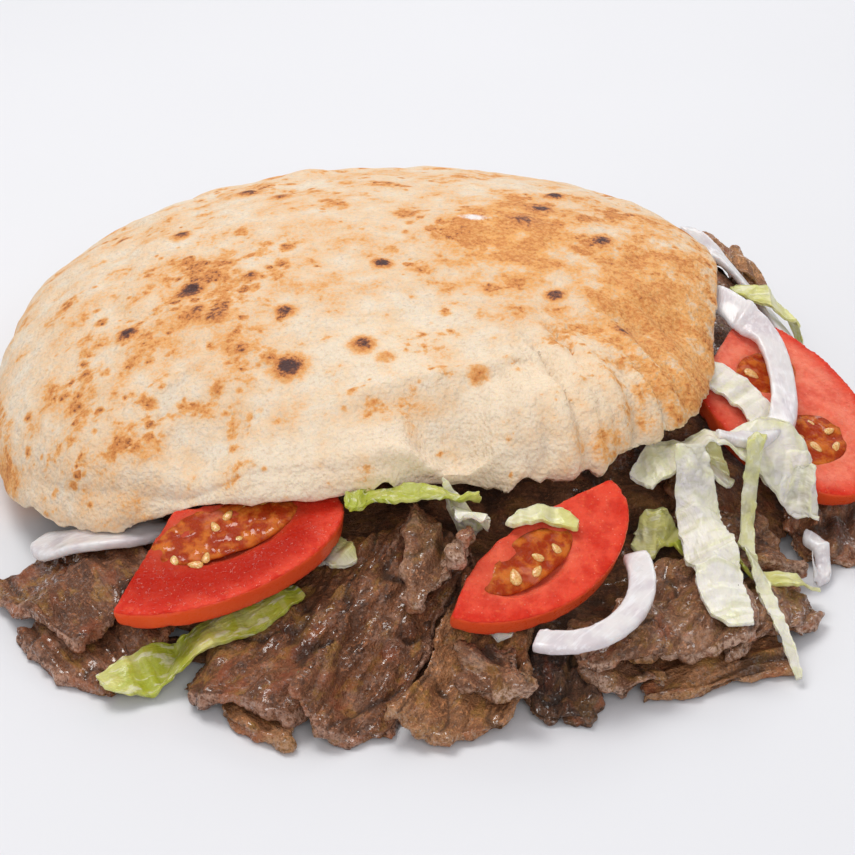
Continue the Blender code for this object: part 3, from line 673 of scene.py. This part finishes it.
for number, (centre, rise, heading, half, hollows, seeds) in TOMATOES.items():
    piece = fine_copy("tomato_" + number, "tomato_slice_" + number, TOMATO_FACE, 2, 2, 0.9)
    mesh = piece.data
    points, facing = points_of(mesh), facing_of(mesh)

    # The way the slice lies, and where each point is along, across and up from its centre.
    up = Vector((-rise[0], -rise[1], 1)).normalized()
    tilt = np.array(Vector((0, 0, 1)).rotation_difference(up).to_matrix())
    lying = tilt @ np.array(Matrix.Rotation(radians(heading), 3, "Z"))
    flat = points @ lying
    ground = np.array([*centre, 0]) * MM
    raised = flat[:, 2].max() - TOMATO_THICK * MM / 2 - ground @ up
    middle = ground + (0, 0, raised / up.z)
    along, across = ((flat - middle @ lying) / MM)[:, :2].T

    jellies = JELLIES.get(number, hollows)
    outer = np.hypot(along / half[0], across / half[1])
    upward = facing @ lying[:, 2]
    skin = ramp(outer, SKIN_START, SKIN_FULL) * np.clip(1.5 - 1.5 * np.abs(upward), 0, 1)
    near = np.min([np.hypot((along - a) / (long + CORE_MARGIN), (across - b) / (wide + CORE_MARGIN))
                   for a, b, long, wide in jellies], axis=0)
    note(mesh, "skin", skin)
    # A slice's depth of red, with painted shade on slice 1 and painted light on slices 2 and 3.
    note(mesh, "ripe_and_painted_light", np.full(len(points), RIPE_AND_PAINTED_LIGHT[number]))
    note(mesh, "outer", outer)
    note(mesh, "core", np.clip(1.6 - near * 1.1, 0, 1) * (upward > 0.3))
    wider = WIDER[number] * np.clip(across / half[1], -1, 1) * np.clip(1 - (along / half[0]) ** 2, 0, 1)
    points = points + lying[:, 1] * (wider * MM)[:, None]
    swell = CUT_UNEVEN * rough(points, 4 * MM, 40 + int(number)) * (1 - skin)
    swell += EDGE_WAVE * np.clip(1 - np.abs(near - 0.85) / 0.2, 0, 1) * noise(points, 2.2 * MM, 50)
    reshape(mesh, points + facing * (swell * MM)[:, None])
    mesh.materials.append(FLESH)

    ball_points, ball_faces = ball(*JELLY_ROWS)
    plump = np.sign(ball_points) * np.abs(ball_points) ** (1, 1, 0.5)
    for hollow, (a, b, long, wide) in enumerate(jellies, 1):
        shape = plump * (long * JELLY_INSIDE, wide * JELLY_INSIDE, JELLY_HIGH)
        placed = (shape + (a, b, TOMATO_THICK / 2 - JELLY_SUNK)) * MM @ lying.T + middle
        wave = JELLY_WAVE * MM * rough(placed, 5 * MM, 60 + hollow, 2)
        placed += lying[:, 2] * wave[:, None]
        new_piece(f"tomato_jelly_{number}_{hollow}", placed, ball_faces, JELLY)

    ball_points, ball_faces = ball(*SEED_ROWS)
    seed_points, seed_faces = [], []
    for a, b, way in seeds:
        shape = ball_points * SEED_HALF
        shape[:, 1] *= 1 - SEED_TAPER * ball_points[:, 0]
        shape *= 1 + SEED_SIZES * (sin(5 * a - 7 * b) - 0.5)
        shape = shape @ np.array(Matrix.Rotation(radians(way), 3, "Z")).T
        sunk = SEED_SUNK + SEED_DEPTHS * sin(9 * a + 4 * b)
        base = sum(len(placed) for placed in seed_points)
        seed_points.append((shape + (a, b, TOMATO_THICK / 2 - sunk)) * MM @ lying.T + middle)
        seed_faces += [tuple(base + corner for corner in face) for face in ball_faces]
    new_piece("tomato_seeds_" + number, np.concatenate(seed_points), seed_faces, SEED)


# ---------------------------------------------------------------- the flatbread
# A round of leavened flatbread, baked on a hot floor until it puffs into a pocket and
# blisters, then torn open along its front.  The crust is dry, matt and cream, tanned
# in flecks, with a golden patch over one shoulder, and the torn lip is ragged.

# Scorched blisters: place (x, y, z), radius and how dark, in mm.
BLISTERS = [
    ((-15.7, -60.3, 49.5), 3.3, 1.0), ((-42.6, -22.1, 50.5), 3.1, 0.95), ((-57.6, -35.6, 44.7), 2.3, 0.95),
    ((6.4, -18.2, 56.2), 2.0, 1.0), ((-34.7, -38.3, 50.9), 2.9, 0.55), ((-17.5, -38.4, 53.2), 2.1, 0.75),
    ((2.1, -55.1, 51.9), 2.2, 0.7), ((-47.8, 10.8, 50.0), 2.0, 0.8), ((-31.8, 41.3, 50.2), 3.0, 0.8),
    ((-22.3, 31.3, 53.2), 2.4, 0.65), ((52.5, 29.6, 53.4), 2.2, 1.0), ((48.4, 17.3, 54.9), 2.5, 0.85),
    ((43.2, 6.2, 55.7), 2.6, 0.7), ((63.6, -2.2, 53.9), 2.2, 0.9), ((50.0, -31.3, 53.7), 2.0, 0.9),
    ((67.2, -43.1, 50.6), 2.5, 0.8), ((80.9, -39.5, 49.0), 2.2, 0.8), ((-26.9, -21.7, 53.7), 1.7, 0.6),
    ((-40.0, -33.0, 50.0), 1.9, 0.55), ((-28.0, -52.0, 50.5), 2.0, 0.5), ((30.0, -66.0, 49.0), 1.8, 0.4),
    ((8.0, -60.0, 50.0), 1.6, 0.45),
]

crust = Finish("baked crust", Subsurface_Weight=0.12, Subsurface_Scale=0.004, Specular_IOR_Level=0.3)
crust.shader.inputs["Subsurface Radius"].default_value = (1.0, 0.6, 0.3)
flour = crust.spots(1.1 * MM, 3, None, 0.65)
broad = crust.spots(24 * MM, 3)
clouds = crust.spots(8 * MM, 4)
swirl = crust.spots(2.0 * MM, 4, None, 0.7)
golden = crust.read("golden")
tanned = crust.read("tanned")
pale_and_painted_light = crust.read("pale_and_painted_light")
painted_pleat_shade = crust.read("painted_pleat_shade")
spread = crust.spots(21 * MM, 2).between(0.38, 0.62) + 0.5 * tanned + 0.3 * golden - 0.5 * pale_and_painted_light
grit = crust.spots(0.9 * MM, 1, None, 0.4) + 1.4 * crust.spots(2.6 * MM, 1, None, 0.4)


def flecks(size, widest):
    """Round tanned spots of many sizes, soft and darker to their middles, in loose clusters."""
    reach = widest * crust.cells(size, "Color") * (0.35 + 0.65 * spread)
    return (reach - crust.cells(size) + 0.26 * (swirl - 0.5)).between(-0.05, 0.26)


def scorched(spot, radius, dark):
    """How burnt the crust is round a blister."""
    reach = crust.apart(crust.place, times(spot, MM)) * (1 / (radius * MM)) + 1.2 * swirl - 0.6
    return reach.between(2.6, 1.0) * (0.42 + 0.15 * dark) + reach.between(1.5, 0.3) * 0.62 * dark


# How far the crust is baked, from 0 where it is still pale to 1 where it is brown.
baked = 0.25 + 0.8 * (broad - 0.5) + 1.0 * (clouds - 0.5) + 0.15 * tanned
baked = (baked - 0.25 * pale_and_painted_light).most(0)
baked = baked + 0.62 * flecks(4.4 * MM, 0.48) + 0.66 * flecks(8.0 * MM, 0.42)
baked = baked + 0.30 * (clouds + 0.12 * spread + 0.3 * (swirl - 0.5)).between(0.62, 0.80)
baked = baked + (golden * (0.50 + 1.1 * (clouds - 0.5) + 0.4 * (swirl - 0.5))).most(0)
baked = baked + 0.25 * golden * clouds.between(0.56, 0.70)
most_baked = 0.90 - 0.20 * golden
baked = most_baked - (most_baked - baked).most(0)
scorch = scorched(*BLISTERS[0])
for blister in BLISTERS[1:]:
    scorch = scorch.most(scorched(*blister))
baked = baked.most(scorch) + 0.2 * scorch
# The valleys of the pleats take painted shade.
baked = baked + (flour - 0.5) * (0.9 + 0.5 * baked) - 0.3 * painted_pleat_shade

# A small pale mark where the crust burst, at (30, 6.5, 56) mm.  Places are squeezed along
# X first, so that it comes out longer that way.
SQUEEZE = 0.45
BURST = (30 * SQUEEZE, 6.5, 56)
burst = crust.apart(crust.stretched(crust.place, SQUEEZE, 1, 1), times(BURST, MM))
burst = burst * (1 / MM) + 2.5 * swirl
crust_colour = crust.painted(
    (0.78, 0.67, 0.53),
    ((0.80, 0.57, 0.36), baked.between(0.0, 0.28)),
    ((0.78, 0.38, 0.125), baked.between(0.24, 0.56)),
    ((0.88, 0.42, 0.11), golden * baked.between(0.2, 0.5) * 0.5),
    ((0.62, 0.23, 0.06), baked.between(0.50, 0.88)),
    ((0.22, 0.075, 0.035), baked.between(0.85, 1.12)),
    ((0.07, 0.028, 0.024), baked.between(1.10, 1.35)),
    ((0.92, 0.79, 0.62), flour.between(0.52, 0.66) * baked.between(0.8, 0.1) * 0.50),
    ((0.58, 0.34, 0.17), flour.between(0.48, 0.34) * baked.between(1.0, 0.3) * 0.40),
    ((0.93, 0.91, 0.90), burst.between(3.4, 2.6) * 0.8),
    # Paler crust, and along the lower lip painted light.
    ((0.94, 0.72, 0.48), pale_and_painted_light * baked.between(0.6, 0.1) * 0.45),
    # Painted shade in the valleys of the pleats.
    ((0.50, 0.30, 0.15), painted_pleat_shade * 0.45),
    ((0.90, 0.74, 0.54), crust.read("crumb") * (0.4 + swirl)))
CRUST = crust.show(crust_colour, 0.80 - 0.15 * golden * clouds - 0.15 * scorch, grit, 0.5 * MM)

# The headings from which to which the mouth opens at its left and closes at its right.
MOUTH_LEFT, MOUTH_RIGHT = (-155, -141), (44, 30)
# How high the foot is that the bread rests on, from how high the dome is shaped, and how
# far the back of the dome is lower than its solid.  These and what follows are in mm.
FOOT_TOP, DOME_START, BACK_LOWER = 7.5, 12, 2.4
# How far the lip hangs below the solid's rim at headings round the mouth.
LIP_DROP = [(-136, 0), (-130, -0.3), (-125, -0.5), (-122, 1.2), (-119, 4.6), (-114, 6.8), (-110, 5.2),
            (-105, 1.8), (-92, 2.2), (-86, 1.6), (-82, 3), (-79, 7.5), (-75, 10), (-71, 9), (-68, 2),
            (-65, -4.5), (-59, -7.5), (-55, -5), (-47, -4.3), (-40, -2), (-32, 0.5), (-22, 5), (-12, 1),
            (0, 0)]
# How far the lip leans out, everywhere and at its left, and how ragged it is torn.
LEAN, LEFT_LEAN, LIP_TEAR = 1.8, 3.5, 2.4
# How high the crust swells, broadly and finely, and how high its pleats, wrinkles and one
# long crease are, its blisters and the dip in the middle of a blister.
SWELL, FINE_SWELL, PLEATS, WRINKLES, LONG_CREASE = 0.7, 0.35, 6.0, 1.3, 2.0
BLISTER, BLISTER_DIP = 0.75, 0.5
# Where the crust is golden, golden low down, tanned or pale: how much, and the middle and
# half sizes of an oval seen from above.  The last pale oval, along the lower lip, is
# painted light where the lip turns down.
GOLDEN = [(1.0, 40, -2, 17, 30), (0.9, 76, -34, 26, 50), (0.6, 64, -82, 16, 12)]
GOLDEN_LOW = [(1.0, -92, -48, 9, 16)]
TANNED = [(1.0, -42, -30, 34, 32), (0.25, 0, 20, 80, 50)]
PALE_AND_PAINTED_LIGHT = [(1.0, 50, -68, 30, 22), (0.7, 12, -58, 26, 20), (0.9, 15, -92, 55, 14)]
CRUST_FACE = 1.35 * MM
EASE_ROUNDS = 220

bread = fine_copy("bread", "bread_pocket", CRUST_FACE, 4, 2, 0.35)
mesh = bread.data
points = points_of(mesh)
x, y, z = (points / MM).T
heading = np.degrees(np.arctan2(y, x))
out = np.hypot(x, y)


def eased(mesh, points, share, rounds):
    """Points moved a share of the way to the middle of their neighbours, many times."""
    ends = np.empty(len(mesh.edges) * 2, np.int64)
    mesh.edges.foreach_get("vertices", ends)
    near, far = np.concatenate([ends.reshape(-1, 2), ends.reshape(-1, 2)[:, ::-1]]).T
    count = np.bincount(near, minlength=len(points))
    for _ in range(rounds):
        around = [np.bincount(near, points[far, axis], len(points)) / count for axis in range(3)]
        points = points + share[:, None] * (np.transpose(around) - points)
    return points


def region(ovals):
    """How far into any of some ovals each point is, seen from above, with 0 past their edges."""
    return np.max([share * np.clip(1.3 - np.hypot((x - cx) / rx, (y - cy) / ry), 0, 1)
                   for share, cx, cy, rx, ry in ovals], axis=0)


# Round the mouth the skin curves evenly down to a lip that leans out a little.
mouth = ramp(heading, *MOUTH_LEFT) * ramp(heading, *MOUTH_RIGHT)
bands = np.arange(-156, 46, 4)
rim = (out > 86) & (z > FOOT_TOP)
edge = [np.percentile(z[rim & (np.abs(heading - band) < 5)], 2) for band in bands]
edge = np.convolve(np.pad(edge, 2, "edge"), np.ones(5) / 5, "valid")
above = z - np.interp(heading, bands, edge)
share = 0.6 * mouth * ramp(out, 62, 78) * ramp(above, 1.5, 6.5) * (z > FOOT_TOP)
points = eased(mesh, points, share, EASE_ROUNDS)
drop = np.interp(heading, *zip(*LIP_DROP)) * ramp(out, 74, 88) * (z > DOME_START)
drop += BACK_LOWER * ramp(y, 5, 50) * ramp(z, 18, 34)
points[:, 2] -= drop * MM
lean = LEAN + LEFT_LEAN * bell(heading, -115, 22)
lean *= mouth * ramp(above, 9, 0) * (out > 80) * (z > FOOT_TOP)
points[:, :2] *= 1 + (lean / out)[:, None]
reshape(mesh, points)
facing = facing_of(mesh)
x, y, z = (points / MM).T
out = np.hypot(x, y)

# The crust swells and wrinkles, is gathered in pleats at two places, and is blistered.
swell = SWELL * rough(points, 26 * MM, 300, 2) + FINE_SWELL * rough(points, 7 * MM, 304, 2)
gathered = bell(heading, -46, 22) + 0.5 * bell(heading, -130, 13)
gathered *= ramp(out, 54, 76) * (z > DOME_START)
round_mouth = np.stack([heading * 1.7 + 0.35 * out, out * 0.16, z * 0.16], 1) * MM
pleats = np.abs(noise(round_mouth, 8.5 * MM, 310)) + 0.5 * np.abs(noise(round_mouth, 3.8 * MM, 312))
pleats = np.sqrt(pleats + 0.01) - 0.5
swell += PLEATS * gathered * pleats
wrinkles = np.sqrt(np.abs(rough(points * (1, 1, 0.5), 19 * MM, 316, 2)) + 0.01) - 0.4
swell += WRINKLES * wrinkles * ramp(out, 92, 78) * (z > 24)
crease = bell(y - 0.32 * x, -73, 3.0) * ramp(x, -12, 3) * ramp(x, 58, 44)
swell += LONG_CREASE * crease * (z > 30)
for spot, radius, dark in BLISTERS:
    apart = np.linalg.norm(points / MM - spot, axis=1) / (radius * 1.25)
    swell += BLISTER * np.exp(-apart ** 2 * 1.5) - BLISTER_DIP * dark * np.exp(-apart ** 2 * 12)
swell *= ramp(z, 1, 5)

# The valleys of the pleats are noted for painted shade.
note(mesh, "painted_pleat_shade", gathered * np.clip(-pleats * 3, 0, 1))
note(mesh, "golden", np.maximum(region(GOLDEN) * (z > 18), region(GOLDEN_LOW) * ramp(z, 20, 14)))
note(mesh, "tanned", region(TANNED))
# Pale crust, with painted light along the lower lip.
note(mesh, "pale_and_painted_light", region(PALE_AND_PAINTED_LIGHT))

# The lip is torn, most of all right of the middle, and shows its pale crumb from below.
moved = points + facing * (swell * MM)[:, None]
lip = mouth * (out > 84) * np.clip(1.3 - above / 5, 0, 1) * (z > FOOT_TOP)
tear = rough(points * (1, 1, 0.15), 9 * MM, 320) + noise(points * (1, 1, 0.2), 3.6 * MM, 330)
moved[:, 2] += LIP_TEAR * MM * lip * tear * (0.35 + 0.65 * bell(x, 28, 24))
note(mesh, "crumb", np.clip(lip * 1.5 - 0.6, 0, 1) * (facing[:, 2] < -0.1))
reshape(mesh, moved)
mesh.materials.append(CRUST)


# ---------------------------------------------------------------- table, light and camera
# The sandwich lies on a plain pale table under broad, soft studio light.

table_finish = Finish("pale table", Specular_IOR_Level=0.2)
table_colour = table_finish.mix((0.755, 0.755, 0.775), (0.795, 0.795, 0.815), table_finish.spots(0.2, 2))
TABLE = table_finish.show(table_colour, 0.75)
TABLE_HALF = 3
corners = [(TABLE_HALF * x, TABLE_HALF * y, 0) for x, y in ((-1, -1), (1, -1), (1, 1), (-1, 1))]
mesh = bpy.data.meshes.new("table")
mesh.from_pydata(corners, [], [(0, 1, 2, 3)])
mesh.materials.append(TABLE)
table = bpy.data.objects.new("table", mesh)
bpy.context.scene.collection.objects.link(table)


def light(name, place, aim, width, height, power, colour):
    """A soft box that faces a point."""
    lamp = bpy.data.lights.new(name, "AREA")
    lamp.shape = "RECTANGLE"
    lamp.size = width
    lamp.size_y = height
    lamp.energy = power
    lamp.color = colour
    holder = bpy.data.objects.new(name, lamp)
    holder.location = place
    holder.rotation_euler = (Vector(aim) - Vector(place)).to_track_quat("-Z", "Y").to_euler()
    bpy.context.scene.collection.objects.link(holder)


MIDDLE, MOUTH = (0.02, -0.03, 0.02), (0.02, -0.05, 0.02)
light("key", (-0.25, 0.15, 0.95), MIDDLE, 0.5, 0.5, 5.0, (1.0, 0.99, 0.97))
light("back", (0.35, 0.75, 0.55), MIDDLE, 0.8, 0.4, 2.0, (1.0, 1.0, 1.0))
light("front", (0.10, -0.95, 0.65), MOUTH, 0.7, 0.4, 3.2, (0.99, 0.99, 1.0))
world = bpy.data.worlds.new("studio")
world.use_nodes = True
bpy.context.scene.world = world
sky = world.node_tree.nodes["Background"].inputs
sky["Color"].default_value = (0.95, 0.96, 1.0, 1)
sky["Strength"].default_value = 0.5

CAMERA_DISTANCE = 0.63
CAMERA_RISE = radians(30)
CAMERA_AIM = Vector((0.018, -0.037, 0.018))
CAMERA_SENSOR = 36
CAMERA_LENS = 103.4
lens = bpy.data.cameras.new("camera")
lens.sensor_width = CAMERA_SENSOR
lens.lens = CAMERA_LENS
camera = bpy.data.objects.new("camera", lens)
camera.location = CAMERA_AIM + CAMERA_DISTANCE * Vector((0, -cos(CAMERA_RISE), sin(CAMERA_RISE)))
camera.rotation_euler = (CAMERA_AIM - camera.location).to_track_quat("-Z", "Y").to_euler()
bpy.context.scene.collection.objects.link(camera)
bpy.context.scene.camera = camera
bpy.context.scene.view_settings.view_transform = "Standard"

bpy.context.view_layer.update()
